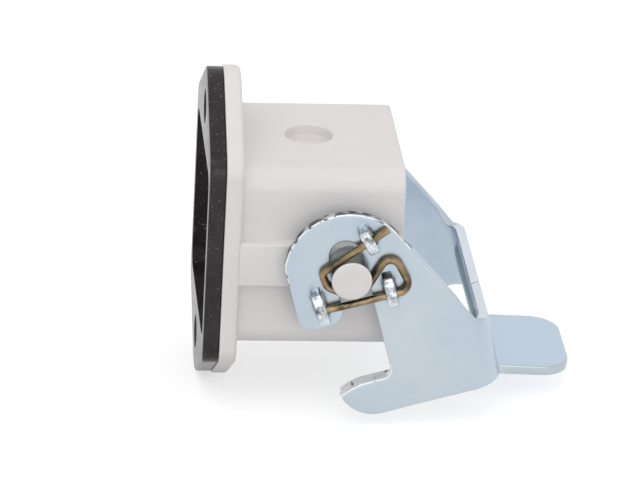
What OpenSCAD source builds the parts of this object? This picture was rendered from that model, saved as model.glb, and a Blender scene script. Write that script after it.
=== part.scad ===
// Panel-mounting connector housing with one locking lever.
// X is the mating direction, Y runs from one lever plate to the other, Z is up.
// The origin is the middle of the gasket's mounting face, in the plane of the panel.

/* [Flange and gasket] */
// Distance between the two panel screw holes
hole_spacing = 30; // [29:0.5:31]
// Diameter of a panel screw hole in the flange
hole_dia = 3.3; // [3:0.1:3.6]
// Width of the flange across its straight sides
flange_width = 26.4; // [26.2:0.2:27.4]
// Thickness of the flange plate
flange_thick = 2.1; // [1.8:0.1:2.6]
// Radius of the flange end around a screw hole
ear_radius = 5.05; // [4.85:0.05:5.25]
// Radius of a side corner of the flange
side_corner_radius = 3; // [2.5:0.25:3.5]
// Height of a side corner's centre above the middle
side_corner_rise = 11.1; // [10.8:0.1:11.4]
// Thickness of the rubber panel gasket
gasket_thick = 2; // [1.5:0.1:2.5]
// Diameter of a screw hole in the gasket
gasket_hole_dia = 3.9; // [3.7:0.1:4.3]
// How far the gasket's edge stays back from the flange's edge
gasket_inset = 0.2; // [0.05:0.05:0.3]
// Width of the gasket's window
window_width = 22.6; // [22:0.2:23]
// Height of the gasket's window
window_height = 21.2; // [20.8:0.2:21.8]
// Corner radius of the gasket's window
window_corner = 2; // [1:0.5:3]

/* [Housing tube] */
// Outside width and height of the tube
tube_size = 23.2; // [23:0.1:23.4]
// Rounding of the tube's long edges
tube_edge_radius = 2.8; // [2:0.1:3.2]
// Thickness of the tube's walls around the insert cavity
tube_wall = 1.1; // [1:0.05:1.2]
// Corner radius of the insert cavity
cavity_corner = 1.6; // [1:0.1:2]
// Distance from the panel plane to the mating face
mating_reach = 23.45; // [23:0.05:24]
// Distance from the panel plane to the ledge the insert sits on
ledge_reach = 6; // [5.5:0.1:6.5]
// Width of the ledge the insert sits on
ledge_width = 1.2; // [1.1:0.05:1.5]
// Width of the bar across the rear opening
bar_width = 6.4; // [6:0.1:7]
// Diameter of the screw boss on the bar
boss_dia = 7.4; // [7:0.1:8]
// How far the screw boss stands above the ledge
boss_rise = 1.5; // [1:0.1:2]
// Diameter of the round recess in the top wall
recess_dia = 5.8; // [5:0.1:6.2]
// Depth of the round recess
recess_depth = 1.5; // [0.8:0.1:1.8]
// Distance from the panel plane to the recess
recess_reach = 12.65; // [12:0.05:13.5]
// Diameter of the pad that backs the recess inside the cavity
recess_pad_dia = 8.2; // [8:0.1:9]
// Thickness of material left under the recess
recess_floor = 1.1; // [0.8:0.1:1.4]

/* [Side ribs and lever pegs] */
// Height of a side rib
rib_height = 5.6; // [5.2:0.1:5.8]
// How far a side rib stands out of the tube
rib_rise = 1.35; // [1.2:0.05:1.4]
// Distance from the panel plane to the peg axis
peg_reach = 17; // [16.8:0.05:17.2]
// Diameter of a peg's shank
shank_dia = 3.6; // [3.4:0.1:3.6]
// Diameter of a peg's shoulder
shoulder_dia = 5.2; // [4.8:0.1:5.4]
// Diameter of a peg's head
head_dia = 4.8; // [4.6:0.1:5]
// Thickness of a peg's head
head_thick = 0.95; // [0.8:0.05:1.2]
// How far a peg's head widens from its back to its front
head_flare = 0.35; // [0.2:0.05:0.4]

/* [Locking lever] */
// Turn of the lever about the pegs, from slots straight down
lever_tilt = 16; // [10:1:22]
// Thickness of the lever's sheet
sheet = 1.2; // [1:0.05:1.2]
// Width over the outside of the lever's plates
lever_width = 30.4; // [30.4:0.1:31]
// Radius of the lever's round head
lever_head_radius = 7.6; // [7.4:0.05:7.75]
// Shift of the round head away from the web
lever_head_back = 0.2; // [0:0.05:0.3]
// Shift of the round head away from the slot's mouth
lever_head_up = 0.3; // [0.2:0.05:0.4]
// Distance from the peg to the straight back edge of the head
lever_back = 7.4; // [7.2:0.05:7.5]
// Running clearance at each side of the peg in the slot
slot_clear = 0.1; // [0.05:0.01:0.15]
// Distance from the peg to the centre of the slot's closed end
slot_rise = 2.55; // [2.5:0.05:2.6]
// Distance from the peg to the end of the lobe beside the slot
lobe_drop = 6; // [5.8:0.1:6.4]
// Distance from the peg to the hook's seat
hook_drop = 14.4; // [14.2:0.05:14.6]
// Radius of the hook's round end
hook_radius = 4.7; // [4.5:0.1:4.9]
// Distance from the peg to the hook's lower edge
lever_drop = 18.9; // [18.7:0.1:19.1]
// Inward depth of the lip along the hook's seat
hook_lip = 0.9; // [0.6:0.05:0.9]
// Breadth of the lip along the hook's seat
hook_lip_breadth = 1.3; // [1:0.1:1.6]
// Distance from the peg to the outer face of the web at its upper edge
web_reach = 14.8; // [14.4:0.1:15.2]
// Lean of the web from its upper edge in towards the hook
web_lean = 2; // [1:0.5:3]
// Distance from the peg to the web's upper edge
web_top_drop = 10.55; // [10.35:0.05:10.8]
// Inward depth of the bead pressed along the web
bead_depth = 0.7; // [0.5:0.1:0.9]
// Height of the bead
bead_height = 5.2; // [4.8:0.1:5.4]
// Length of the bead's straight part
bead_length = 18; // [16:0.5:18]
// Distance from the web's upper edge to the bead
bead_margin = 0.3; // [0.2:0.05:0.5]
// Outer radius of the bend between a plate and the web
bend_radius = 3.4; // [3:0.1:3.6]
// Distance from the peg to the root of the thumb tab
tab_drop = 20.45; // [20.2:0.05:20.8]
// Length of the thumb tab
tab_length = 9.2; // [8.6:0.1:10]
// Width of the thumb tab
tab_width = 14.4; // [13.6:0.1:15.2]
// Corner radius of the thumb tab
tab_corner = 3.5; // [2.5:0.1:4]
// Slope of the thumb tab from square to the web
tab_slope = 16; // [12:1:18]

/* [Spring wires] */
// Diameter of a spring wire
wire_dia = 0.9; // [0.8:0.05:0.95]
// Clearance at each side of a wire, under the peg's head and the bridges
wire_clear = 0.07; // [0.05:0.01:0.08]
// Width of a bridge that holds a wire
bridge_width = 1.3; // [1.1:0.1:1.4]
// Thickness of a bridge
bridge_thick = 0.75; // [0.6:0.05:0.8]

/* [Insert screw] */
// Outside diameter of the brass nut in the bar
nut_dia = 4.4; // [4.2:0.1:4.6]
// Length of the brass nut
nut_length = 4.5; // [4:0.1:4.8]
// Bore of the nut's M3 thread
nut_bore = 2.5; // [2.4:0.1:2.6]
// Diameter of the clear hole behind the nut
relief_dia = 3.4; // [3.2:0.1:3.8]
// Thickness of the seal the insert sits on
seal_thick = 1.2; // [1:0.1:1.4]
// Width of the insert seal's frame
seal_width = 1; // [0.8:0.1:1.1]
// Gap around the insert seal
seal_clear = 0.05; // [0.03:0.01:0.1]

/* [Hidden] */
$fn = 64;
plastic = [0.87, 0.86, 0.85];
rubber = [0.09, 0.09, 0.09];
zinc = [0.78, 0.82, 0.87];
bronze = [0.55, 0.42, 0.25];
brass = [0.8, 0.65, 0.3];
through = 1;
tube_half = tube_size / 2;
cavity_size = tube_size - 2 * tube_wall;
rear_opening = cavity_size - 2 * ledge_width;
rib_face = tube_half + rib_rise;
rib_root = (tube_size + cavity_size) / 4;
bar_span = (tube_size + rear_opening) / 2;
plate_outer = lever_width / 2;
plate_inner = plate_outer - sheet;
lever_side_clear = 0.1;
shoulder_face = plate_inner - lever_side_clear;
wire_layer = plate_outer + wire_clear;
head_under = wire_layer + wire_dia + wire_clear;
slot_half = shank_dia / 2 + slot_clear;
bridge_room = wire_dia + 2 * wire_clear;
bend_start = web_reach - bend_radius;
bend_side = plate_outer - bend_radius;
lobe_back_round = 1.9;
lobe_mouth_round = 2;
hook_centre_back = 0.2;
hook_tip_start = 2;
hook_tip_fall = 0.8;
skirt_top_half = 10.4;
skirt_rise = 2;
skirt_edge = 0.5;
skirt_step = 0.1;
skirt_low_half = tab_width / 2 + skirt_step;
back_room = 20;
bridge_slope = 0.5;
window_ledge = 0.1;
blend_sink = 0.02;
tab_overlap = 0.3;
bead_wall = 0.7;
tab_bend_steps = 12;
// Routes in the lever's own plane: along the web's direction, then away from the slot's mouth.
// Each corner of the wire's route has its own bend radius, and the two ends have none.
wire_hug = shank_dia / 2 + wire_clear + wire_dia / 2;
wire_route = [[5.68, 4.86], [-3.25, 1.3], [-3.05, -0.55], [-0.85, -wire_hug], [1.1, -wire_hug],
              [5.4, 2.1], [6.75, -3.58], [-4.7, -3.48]];
wire_bend = [0, 0.7, 1.2, 2.2, 2.2, 1.2, 1.3, 0];
wire_sides = 12;
wire_step = 18;
// A bridge: the place of its middle, its turn and its length
bridge_top = [3.1, 4.1, 15, 4];
bridge_right = [4.15, -3, 0, 4.6];
bridge_left = [-4.4, -3, 4, 5];

function angle_of(v) = atan2(v.y, v.x);
// Point where a line from p touches the circle of radius r about c, on the left seen from p
function tangent_point(p, c, r) =
    let (d = c - p, far = norm(d), turn = asin(r / far), reach = sqrt(far * far - r * r))
    p + reach * [cos(angle_of(d) - turn), sin(angle_of(d) - turn)];
// Angle of the outer normal of the straight edge that touches two circles of the flange
function edge_normal(a, ra, b, rb) = angle_of(b - a) + acos((ra - rb) / norm(b - a));
function on_circle(c, r, turn) = c + r * [cos(turn), sin(turn)];
// Heading of a route's straight after point i, and the turn it makes at corner i
function heading(route, i) = angle_of(route[i + 1] - route[i]);
function short_turn(a) = a > 180 ? a - 360 : a < -180 ? a + 360 : a;
function turn_at(route, i) = short_turn(heading(route, i) - heading(route, i - 1));
// Stations through corner i of a route: places on its bend, each with the wire's heading there
function bend_stations(route, r, i) =
    let (h = heading(route, i - 1), turn = turn_at(route, i), side = turn > 0 ? 1 : -1,
         start = route[i] - r * tan(abs(turn) / 2) * [cos(h), sin(h)],
         centre = start + side * r * [-sin(h), cos(h)],
         steps = ceil(abs(turn) / wire_step))
    [for (k = [0 : steps]) let (now = h + turn * k / steps)
     [centre + side * r * [sin(now), -cos(now)], now]];
function wire_stations(route, bend) =
    let (last = len(route) - 1)
    concat([[route[0], heading(route, 0)]],
           [for (i = [1 : last - 1]) each bend_stations(route, bend[i], i)],
           [[route[last], heading(route, last - 1)]]);

// A square with round corners, about the origin
module round_square(w, h, r) {
    square([w, h - 2 * r], center = true);
    square([w - 2 * r, h], center = true);
    for (sx = [-1, 1], sy = [-1, 1])
        translate([sx * (w / 2 - r), sy * (h / 2 - r)]) circle(r = r);
}

// Stands a flat shape drawn in Y and Z on the plane at x, and gives it a thickness along X
module along_x(x, thick) {
    translate([x, 0, 0]) rotate([90, 0, 90]) linear_extrude(thick) children();
}

module cylinder_x(x, thick, d) {
    translate([x, 0, 0]) rotate([0, 90, 0]) cylinder(h = thick, d = d);
}

// A round about the peg axis on the near side, between two distances from the middle
module peg_round(from, to, d, flare = 0) {
    translate([peg_reach, -from, 0]) rotate([90, 0, 0])
        cylinder(h = to - from, d1 = d - 2 * flare, d2 = d);
}

// Plate of the flange and the gasket: two round ears joined to four side corners
module flange_plate(x, thick, inset = 0) {
    ear = [0, hole_spacing / 2];
    ear_round = ear_radius - inset;
    corner = [flange_width / 2 - side_corner_radius, side_corner_rise];
    corner_round = side_corner_radius - inset;
    turn = edge_normal(ear, ear_round, corner, corner_round);
    side = corner_round - blend_sink;
    right = [on_circle(ear, ear_round - blend_sink, turn), on_circle(corner, side, turn),
             corner + [side, 0]];
    left = [for (i = [2 : -1 : 0]) [-right[i].x, right[i].y]];
    top = concat(left, right);
    bottom = [for (i = [5 : -1 : 0]) [top[i].x, -top[i].y]];
    along_x(x, thick) polygon(concat(top, bottom));
    for (sz = [-1, 1]) {
        translate([0, 0, sz * ear.y]) cylinder_x(x, thick, 2 * ear_round);
        for (sy = [-1, 1])
            translate([0, sy * corner.x, sz * corner.y]) cylinder_x(x, thick, 2 * corner_round);
    }
}

module panel_holes(x, thick, d) {
    for (sz = [-1, 1])
        translate([0, 0, sz * hole_spacing / 2]) cylinder_x(x, thick, d);
}

module side_rib() {
    translate([gasket_thick, -rib_face, -rib_height / 2])
        cube([peg_reach - gasket_thick, rib_face - rib_root, rib_height]);
    peg_round(rib_root, rib_face, rib_height);
}

module lever_peg() {
    peg_round(rib_face, shoulder_face, shoulder_dia);
    peg_round(shoulder_face, head_under, shank_dia);
    peg_round(head_under, head_under + head_thick, head_dia, head_flare);
}

module tube_shell() {
    difference() {
        union() {
            flange_plate(gasket_thick, flange_thick);
            along_x(gasket_thick, mating_reach - gasket_thick)
                round_square(tube_size, tube_size, tube_edge_radius);
            for (turn = [0, 180])
                rotate([turn, 0, 0]) side_rib();
        }
        along_x(ledge_reach, mating_reach) round_square(cavity_size, cavity_size, cavity_corner);
        along_x(gasket_thick - through, ledge_reach)
            round_square(rear_opening, rear_opening, cavity_corner);
        panel_holes(gasket_thick - through, flange_thick + 2 * through, hole_dia);
    }
}

module screw_bar() {
    difference() {
        union() {
            translate([gasket_thick, -bar_width / 2, -bar_span / 2])
                cube([ledge_reach - gasket_thick, bar_width, bar_span]);
            cylinder_x(gasket_thick, ledge_reach + boss_rise - gasket_thick, boss_dia);
        }
        cylinder_x(ledge_reach + boss_rise - nut_length, nut_length + through, nut_dia);
        cylinder_x(gasket_thick - through, ledge_reach, relief_dia);
    }
}

module housing_body() {
    color(plastic)
    difference() {
        union() {
            tube_shell();
            screw_bar();
            for (turn = [0, 180])
                rotate([turn, 0, 0]) lever_peg();
            translate([recess_reach, 0, tube_half - recess_depth - recess_floor])
                cylinder(h = recess_depth, d = recess_pad_dia);
        }
        translate([recess_reach, 0, tube_half - recess_depth])
            cylinder(h = recess_depth + through, d = recess_dia);
    }
}

module panel_gasket() {
    color(rubber)
    difference() {
        flange_plate(0, gasket_thick, gasket_inset);
        along_x(-through, gasket_thick + 2 * through)
            round_square(window_width, window_height, window_corner);
        panel_holes(-through, gasket_thick + 2 * through, gasket_hole_dia);
    }
}

module insert_seal() {
    outer = cavity_size - 2 * seal_clear;
    inner = outer - 2 * seal_width;
    color(rubber)
    difference() {
        along_x(ledge_reach, seal_thick) round_square(outer, outer, cavity_corner);
        along_x(ledge_reach - through, seal_thick + 2 * through)
            round_square(inner, inner, cavity_corner - seal_width / 2);
    }
}

module insert_nut() {
    color(brass)
    difference() {
        cylinder_x(ledge_reach + boss_rise - nut_length, nut_length, nut_dia);
        cylinder_x(ledge_reach + boss_rise - nut_length - through, nut_length + 2 * through, nut_bore);
    }
}

// The lever's own frame: X towards the web, Z away from the slot's mouth, origin on the peg axis
module in_lever() {
    translate([peg_reach, 0, 0]) rotate([0, -lever_tilt, 0]) children();
}

// A shape drawn in the plates' plane, between two distances from the middle on the near side
module near_layer(from, to) {
    translate([0, -from, 0]) rotate([90, 0, 0]) linear_extrude(to - from) children();
}

module slot_cut() {
    translate([0, slot_rise]) circle(r = slot_half);
    translate([-slot_half, -lobe_drop - through]) square([2 * slot_half, lobe_drop + through + slot_rise]);
}

module lever_lobe() {
    back = lobe_back_round;
    mouth = lobe_mouth_round;
    translate([-lever_back, -lobe_drop + back])
        square([lever_back - slot_half, lobe_drop]);
    translate([-lever_back + back, -lobe_drop])
        square([lever_back - slot_half - back - mouth, back]);
    translate([-lever_back + back, -lobe_drop + back]) circle(r = back);
    translate([-slot_half - mouth, -lobe_drop + mouth]) circle(r = mouth);
}

module lever_hook() {
    difference() {
        union() {
            translate([-hook_centre_back, -lever_drop + hook_radius]) circle(r = hook_radius);
            translate([-hook_centre_back, -lever_drop])
                square([bend_start + hook_centre_back, lever_drop - hook_drop]);
        }
        translate([-lever_drop, -hook_drop]) square([lever_drop + slot_half, hook_drop]);
        polygon([[-hook_tip_start, -hook_drop], [-hook_centre_back - hook_radius, -hook_drop],
                 [-hook_centre_back - hook_radius, -hook_drop - hook_tip_fall]]);
    }
}

// Side view of the lever: head, lobe, arm, hook and the web's edge
module lever_outline() {
    head_centre = [-lever_head_back, lever_head_up];
    web_top = [web_reach - sheet, -web_top_drop];
    touch = tangent_point(web_top, head_centre, lever_head_radius - blend_sink);
    difference() {
        union() {
            intersection() {
                translate(head_centre) circle(r = lever_head_radius);
                translate([-lever_back, 0]) square(2 * lever_drop);
            }
            polygon([head_centre, touch, web_top, [web_reach, -web_top_drop],
                     [web_reach, -lever_drop], [slot_half, -lever_drop], [slot_half, 0]]);
            lever_lobe();
            lever_hook();
        }
        slot_cut();
    }
}

// Top view of the bent sheet, drawn with a given distance to its outer faces
module sheet_outline(in) {
    back = back_room + in;
    half = plate_outer - in;
    round = bend_radius - in;
    translate([-back, -half]) square([back + bend_start, 2 * half]);
    translate([-back, -bend_side]) square([back + bend_start + round, 2 * bend_side]);
    for (sy = [-1, 1])
        translate([bend_start, sy * bend_side]) circle(r = round);
}

// The web's frame: the lever's frame, leaned about the web's upper edge
module in_web() {
    edge = [web_reach, 0, -web_top_drop];
    translate(edge) rotate([0, web_lean, 0]) translate(-edge) children();
}

module bent_sheet() {
    intersection() {
        in_web()
            translate([0, 0, -2 * lever_drop])
                linear_extrude(4 * lever_drop)
                    difference() {
                        sheet_outline(0);
                        sheet_outline(sheet);
                    }
        near_layer(-plate_outer - through, plate_outer + through) lever_outline();
    }
}

// A bar with round ends along the web, for the bead's inner crest and its outer hollow
module web_bead(x, thick, half) {
    flat = half - blend_sink;
    translate([0, 0, -web_top_drop - bead_margin - bead_height / 2]) {
        translate([x, -bead_length / 2, -flat]) cube([thick, bead_length, 2 * flat]);
        for (sy = [-1, 1])
            translate([0, sy * bead_length / 2, 0]) cylinder_x(x, thick, 2 * half);
    }
}

// The web runs on below the plates and turns out into the thumb tab
module thumb_tab() {
    along_x(web_reach - sheet, sheet)
        polygon([[-skirt_top_half, -lever_drop + skirt_rise], [skirt_top_half, -lever_drop + skirt_rise],
                 [skirt_top_half, -lever_drop + skirt_edge], [skirt_low_half, -tab_drop + skirt_step],
                 [-skirt_low_half, -tab_drop + skirt_step], [-skirt_top_half, -lever_drop + skirt_edge]]);
    intersection() {
        near_layer(-tab_width, tab_width) tab_profile();
        translate([web_reach, 0, -tab_drop]) rotate([0, tab_slope, 0]) tab_plan();
    }
}

// Side view of the bend at the tab's root and of the tab
module tab_profile() {
    root = [web_reach, -tab_drop];
    out = [cos(tab_slope), -sin(tab_slope)];
    below = [-sin(tab_slope), -cos(tab_slope)];
    bend = [for (i = [0 : tab_bend_steps])
            on_circle(root, sheet, 180 + (90 - tab_slope) * i / tab_bend_steps)];
    polygon(concat([root + [0, tab_overlap], root + [-sheet, tab_overlap]], bend,
                   [root + tab_length * out + sheet * below, root + tab_length * out, root]));
}

// Prism over the tab's outline, from behind its root to its rounded end
module tab_plan() {
    half = tab_width / 2;
    for (block = [[tab_length - tab_corner, half], [tab_length, half - tab_corner]])
        translate([-tab_corner, -block.y, -tab_length])
            cube([block.x + tab_corner, 2 * block.y, 2 * tab_length]);
    for (sy = [-1, 1])
        translate([tab_length - tab_corner, sy * (half - tab_corner), -tab_length])
            cylinder(h = 2 * tab_length, r = tab_corner);
}

module hook_seat_lip() {
    near_layer(plate_inner - hook_lip, plate_inner + sheet / 2)
        intersection() {
            lever_hook();
            translate([-lever_drop, -hook_drop - hook_lip_breadth])
                square([lever_drop + slot_half, hook_lip_breadth]);
        }
}

// Places a child along a bridge: its X across the wire, its Y along the bridge
module at_bridge(place) {
    translate([place[0], 0, place[1]]) rotate([0, -place[2], 0]) children();
}

module bridge_arch(place) {
    half = place[3] / 2;
    gap = half - bridge_thick;
    rise = bridge_room + bridge_thick;
    top = half - bridge_slope * rise;
    gap_top = gap - bridge_slope * bridge_room;
    root = sheet / 2;
    spread = bridge_slope * root;
    outer = [[-half - spread, -root], [-top, rise], [top, rise], [half + spread, -root]];
    inner = [[-gap - 2 * spread, -2 * root], [-gap_top, bridge_room],
             [gap_top, bridge_room], [gap + 2 * spread, -2 * root]];
    at_bridge(place)
        translate([-bridge_width / 2, -plate_outer, 0])
            rotate([0, 0, -90]) rotate([90, 0, 0]) mirror([0, 0, 1])
                rotate([0, 0, 90]) linear_extrude(bridge_width)
                    difference() {
                        polygon([for (p = outer) [p.x, -p.y]]);
                        polygon([for (p = inner) [p.x, -p.y]]);
                    }
}

module bridge_window(place) {
    length = place[3] - 2 * bridge_thick - 2 * window_ledge;
    at_bridge(place)
        translate([-bridge_width / 2, -plate_outer - bridge_room, -length / 2])
            cube([bridge_width, bridge_room + 2 * sheet, length]);
}

module locking_lever() {
    bridges = [bridge_top, bridge_right, bridge_left];
    color(zinc)
    in_lever() {
        difference() {
            bent_sheet();
            for (side = [0, 1], place = bridges)
                mirror([0, side, 0]) bridge_window(place);
            in_web() web_bead(web_reach - bead_depth, bead_depth + through, bead_height / 2 - bead_wall);
        }
        in_web() {
            thumb_tab();
            web_bead(web_reach - sheet - bead_depth, bead_depth + sheet / 2, bead_height / 2);
        }
        for (side = [0, 1])
            mirror([0, side, 0]) {
                hook_seat_lip();
                for (place = bridges)
                    bridge_arch(place);
            }
    }
}

// One wire: a ring of points round each station of its route, joined into a tube
module spring_wire() {
    stations = wire_stations(wire_route, wire_bend);
    rings = len(stations);
    points = [for (s = stations, k = [0 : wire_sides - 1])
              let (across = wire_dia / 2 * cos(360 * k / wire_sides), aside = s[1] + 90)
              [s[0].x + across * cos(aside), wire_dia / 2 * sin(360 * k / wire_sides),
               s[0].y + across * sin(aside)]];
    skin = [for (i = [0 : rings - 2], k = [0 : wire_sides - 1])
            let (next = (k + 1) % wire_sides, a = i * wire_sides, b = a + wire_sides)
            [a + k, a + next, b + next, b + k]];
    first_end = [for (k = [wire_sides - 1 : -1 : 0]) k];
    last_end = [for (k = [0 : wire_sides - 1]) (rings - 1) * wire_sides + k];
    in_lever()
        translate([0, -wire_layer - wire_dia / 2, 0])
            polyhedron(points, concat(skin, [first_end, last_end]));
}

module spring_wire_near() {
    color(bronze) spring_wire();
}

module spring_wire_far() {
    color(bronze) mirror([0, 1, 0]) spring_wire();
}

housing_body();
panel_gasket();
insert_seal();
insert_nut();
locking_lever();
spring_wire_near();
spring_wire_far();
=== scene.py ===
from math import acos, asin, atan2, ceil, copysign, cos, degrees, dist, hypot, pi, radians, sin, tan

import bmesh
import bpy
import numpy as np
from mathutils import Matrix, Vector
from mathutils.geometry import delaunay_2d_cdt


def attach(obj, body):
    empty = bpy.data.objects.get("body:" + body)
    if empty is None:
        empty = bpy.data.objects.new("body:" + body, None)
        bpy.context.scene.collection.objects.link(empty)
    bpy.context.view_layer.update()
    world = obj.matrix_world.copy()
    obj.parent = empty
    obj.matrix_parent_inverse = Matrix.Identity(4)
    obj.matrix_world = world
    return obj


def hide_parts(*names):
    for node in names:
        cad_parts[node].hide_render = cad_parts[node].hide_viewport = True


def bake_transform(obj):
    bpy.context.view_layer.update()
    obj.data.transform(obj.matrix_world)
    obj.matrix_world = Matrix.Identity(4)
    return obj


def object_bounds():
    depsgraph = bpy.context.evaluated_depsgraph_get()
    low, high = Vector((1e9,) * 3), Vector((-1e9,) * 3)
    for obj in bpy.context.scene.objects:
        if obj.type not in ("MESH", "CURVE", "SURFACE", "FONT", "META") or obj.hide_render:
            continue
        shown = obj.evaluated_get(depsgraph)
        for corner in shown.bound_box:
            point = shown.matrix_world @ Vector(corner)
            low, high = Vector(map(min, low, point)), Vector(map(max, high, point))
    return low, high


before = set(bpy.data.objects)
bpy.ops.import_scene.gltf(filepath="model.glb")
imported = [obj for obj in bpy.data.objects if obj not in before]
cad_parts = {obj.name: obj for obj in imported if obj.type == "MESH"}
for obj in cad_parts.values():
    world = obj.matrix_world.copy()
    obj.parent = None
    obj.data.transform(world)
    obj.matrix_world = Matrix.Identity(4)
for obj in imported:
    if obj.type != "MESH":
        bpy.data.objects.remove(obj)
cad_low, cad_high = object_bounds()

# Sizes in millimetres, as in the part's source. X is the mating direction, Y runs from one lever
# plate to the other, Z is up, and the origin is the middle of the gasket's mounting face.
MM = 0.001
GASKET_THICK, FLANGE_FRONT = 2.0, 4.1
FLANGE_HALF, SIDE_CORNER, SIDE_RISE = 13.2, 3.0, 11.1
EAR_RISE, EAR_RADIUS, GASKET_INSET = 15.0, 5.05, 0.2
HOLE_DIA, GASKET_HOLE_DIA = 3.3, 3.9
WINDOW = (22.6, 21.2, 2.0)
TUBE_SIZE, TUBE_EDGE = 23.2, 2.8
CAVITY_SIZE, REAR_OPENING, CAVITY_CORNER = 21.0, 18.6, 1.6
LEDGE, MATING_FACE = 6.0, 23.45
RECESS_X, RECESS_DIA, RECESS_DEPTH, RECESS_FLOOR, PAD_DIA = 12.65, 5.8, 1.5, 1.1, 8.2
RIB_HALF, RIB_FACE = 2.8, 12.95
PEG_X, SHOULDER_DIA, SHANK_DIA, HEAD_DIA = 17.0, 5.2, 3.6, 4.8
SHOULDER_FACE, HEAD_UNDER, HEAD_FRONT, HEAD_FLARE = 13.9, 16.24, 17.19, 0.35
BAR_WIDTH, BAR_LENGTH, BOSS_DIA, BOSS_FACE = 6.4, 19.7, 7.4, 7.5
NUT_DIA, NUT_LENGTH, NUT_BORE, RELIEF_DIA = 4.4, 4.5, 2.5, 3.4
SEAL_SIZE, SEAL_WIDTH, SEAL_THICK = 20.9, 1.0, 1.2
# The lever, in its own frame: U towards the web, W away from the slot's mouth, from the peg
TILT, LEAN = radians(16), radians(2)
SHEET, PLATE_OUTER, BEND = 1.2, 15.2, 3.4
HEAD_U, HEAD_W, HEAD_R, BACK_U = -0.2, 0.3, 7.6, -7.4
SLOT_HALF, SLOT_END = 1.9, 2.55
LOBE_W, LOBE_BACK_R, LOBE_MOUTH_R = -6.0, 1.9, 2.0
SEAT_W, HOOK_U, HOOK_R, LEVER_LOW = -14.4, -0.2, 4.7, -18.9
TIP_START_U, TIP_MID_U, TIP_MID_FALL, TIP_FALL, SEAT_CORNER = -2.0, -3.3, 0.28, 0.8, 1.1
HOOK_SET, CREASE_SLOPE = radians(2), 0.45
LIP_DEPTH, LIP_BREADTH, LIP_END_U = 0.9, 1.3, -4.4
WEB_U, WEB_TOP = 14.8, -10.55
BEAD_DEPTH, BEAD_HALF, BEAD_LENGTH, BEAD_W, BEAD_SLOPE = 0.7, 2.6, 18.0, -13.45, 1.1
SEAM_Y = -3.9
SKIRT_HALF, SKIRT_W, TAB_W = 10.4, -18.4, -20.45
TAB_LENGTH, TAB_HALF, TAB_CORNER, TAB_TURN = 9.2, 7.2, 3.5, radians(74)
TAB_BEND = 0.6
SHEAR_ROUND, SHEET_GRID = 0.16, 0.55
WIRE_DIA, WIRE_Y, WIRE_HUG = 0.9, 15.72, 2.32
WIRE_ROUTE = [(5.68, 4.86), (-3.25, 1.3), (-3.05, -0.55), (-0.85, -WIRE_HUG), (1.1, -WIRE_HUG),
              (5.4, 2.1), (6.75, -3.58), (-4.7, -3.48)]
WIRE_BEND = [0, 0.7, 1.2, 2.2, 2.2, 1.2, 1.3, 0]
# Each bridge: its middle in U and W, its turn in degrees and its length
BRIDGES = {"top": (3.1, 4.1, 15, 4.0), "right": (4.15, -3, 0, 4.6), "left": (-4.4, -3, 4, 5.0)}
BRIDGE_WIDTH, BRIDGE_THICK, BRIDGE_ROOM, BRIDGE_SLOPE = 1.3, 0.75, 1.04, 0.5
# Finishes of the lever's sheet, in the order of its material slots; all but the plated and torn ones hold
# painted light and shade
PLATED, BURNISHED_HIGHLIGHT, TORN, BEAD_SHADE, LIT_INNER, LIT_RIM = range(6)
# Sides of a turned form, and the small radius that stands for its axis
SIDES, PIN = 64, 0.01


# Camera, as fitted to the photograph


def photo_camera():
    turn, dip, roll = (radians(a) for a in (5.723, 24.381, 3.094))
    forward = Vector((sin(turn) * cos(dip), cos(turn) * cos(dip), -sin(dip)))
    level = Vector((cos(turn), -sin(turn), 0))
    upright = level.cross(forward)
    right = cos(roll) * level + sin(roll) * upright
    up = -sin(roll) * level + cos(roll) * upright
    data = bpy.data.cameras.new("photo_camera")
    data.sensor_width = 36
    data.lens = 232.45
    data.shift_x, data.shift_y = 0.03334, -0.02943
    data.clip_start, data.clip_end = 0.01, 20
    camera = placed("photo_camera", data)
    aim, distance = point_mm((12, 0, 0)), 502.46 * MM
    axes = Matrix((right, up, -forward)).transposed()
    camera.matrix_world = Matrix.Translation(aim - distance * forward) @ axes.to_4x4()
    bpy.context.scene.camera = camera


# Node trees for the materials


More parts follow.
